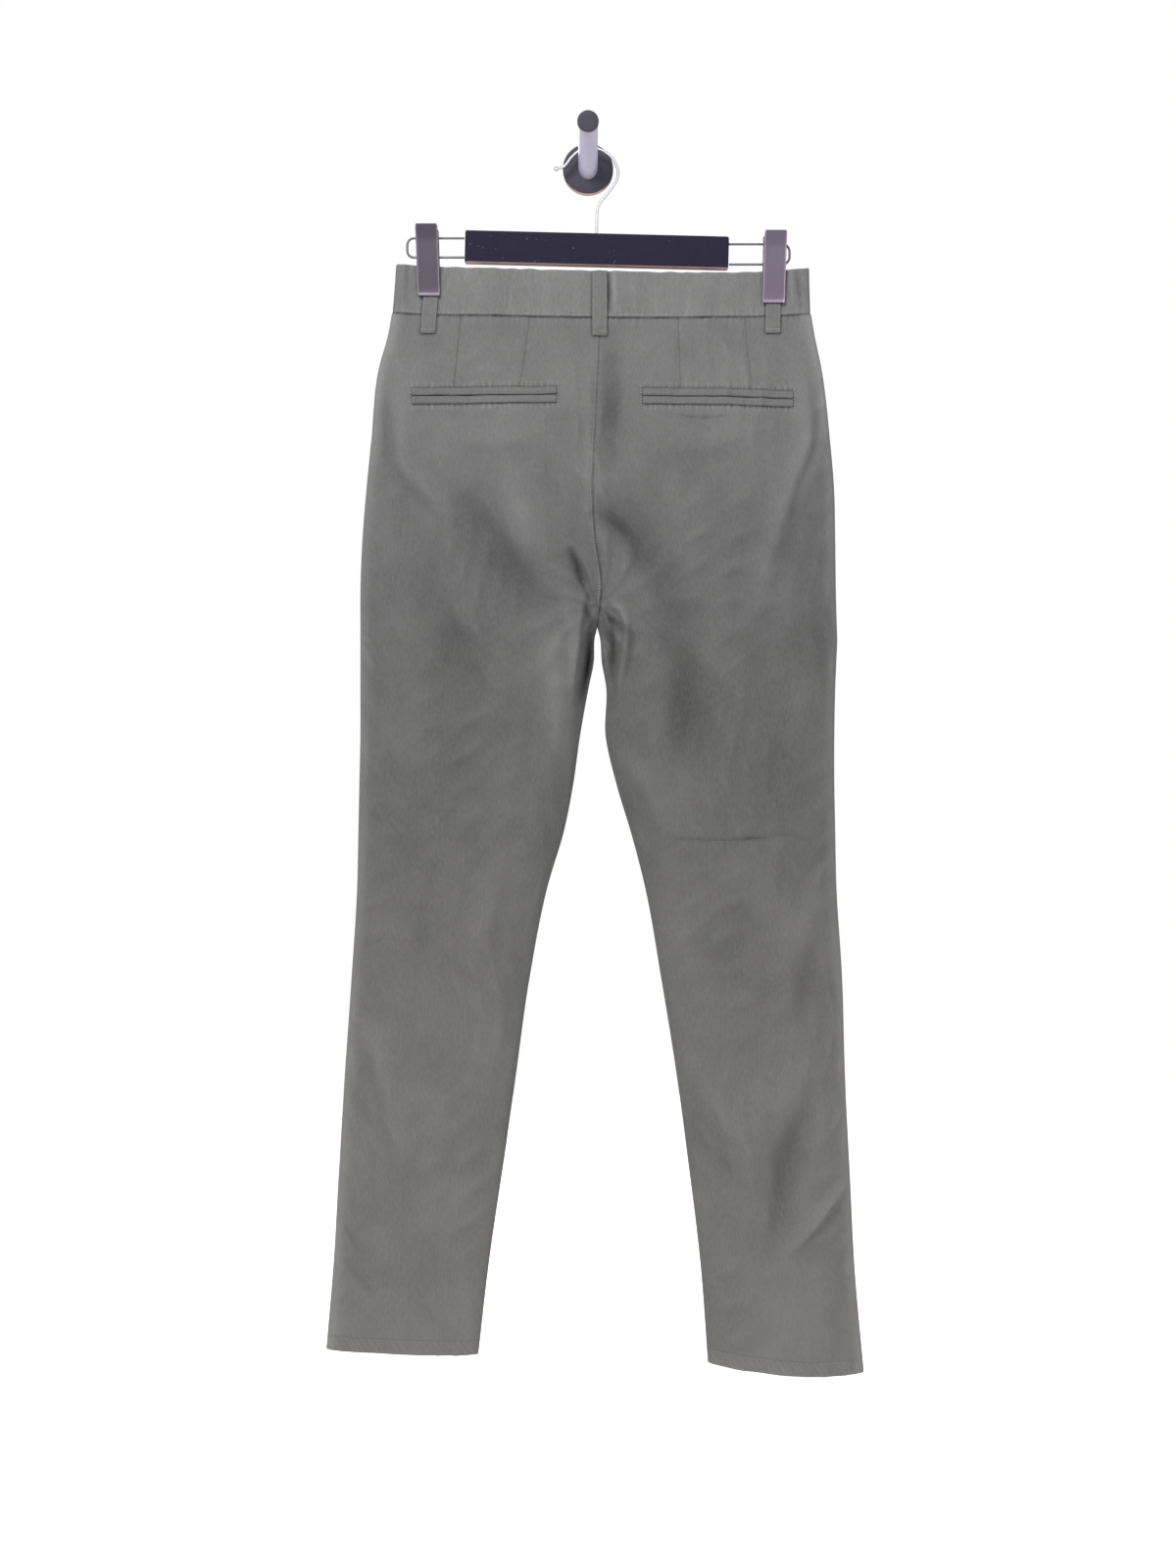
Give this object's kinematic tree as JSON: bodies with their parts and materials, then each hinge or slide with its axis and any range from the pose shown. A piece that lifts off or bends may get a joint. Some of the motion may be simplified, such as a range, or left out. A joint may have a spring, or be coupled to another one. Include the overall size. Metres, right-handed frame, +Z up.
{
  "type": "trousers on a clip hanger and wall hook",
  "caption": "Slim twill trousers seen from the back, held at the waistband by a clip hanger that hangs on a round wall hook.",
  "frame": {"origin": "centre of the wall hook's flat back face, where it meets the wall", "axes": "+X to the right as the trousers' back is seen, +Y into the wall, +Z up; the trousers' back faces -Y"},
  "size_m": [0.5389, 0.0783, 1.2521],
  "materials": {
    "olive_twill": "matt cotton twill",
    "dark_button": "semi-gloss",
    "bar_black": "satin blue-black",
    "clip_steel": "satin",
    "bright_wire": "bright",
    "disc_dark": "satin dark grey",
    "post_satin": "satin"
  },
  "bodies": {
    "root": {"back_panel_left_leg": "olive_twill", "back_panel_left_seat": "olive_twill", "back_panel_right_leg": "olive_twill", "back_panel_right_seat": "olive_twill", "back_pocket_left_lower_welt": "olive_twill", "back_pocket_left_upper_welt": "olive_twill", "back_pocket_right_lower_welt": "olive_twill", "back_pocket_right_upper_welt": "olive_twill", "belt_loop_back_centre": "olive_twill", "belt_loop_back_left": "olive_twill", "belt_loop_back_right": "olive_twill", "belt_loop_front_left": "olive_twill", "belt_loop_front_right": "olive_twill", "clip_left_room_jaw": "clip_steel", "clip_left_saddle": "bright_wire", "clip_left_wall_jaw": "clip_steel", "clip_right_room_jaw": "clip_steel", "clip_right_saddle": "bright_wire", "clip_right_wall_jaw": "clip_steel", "fly": "olive_twill", "front_panel_left_leg": "olive_twill", "front_panel_left_seat": "olive_twill", "front_panel_right_leg": "olive_twill", "front_panel_right_seat": "olive_twill", "hanger_bar": "bar_black", "hanger_hook": "bright_wire", "rail_left": "bright_wire", "rail_right": "bright_wire", "waist_button": "dark_button", "waistband_left": "olive_twill", "waistband_right": "olive_twill", "wall_disc": "disc_dark", "wall_post": "post_satin", "wall_post_cap": "disc_dark"}
  },
  "joints": []
}
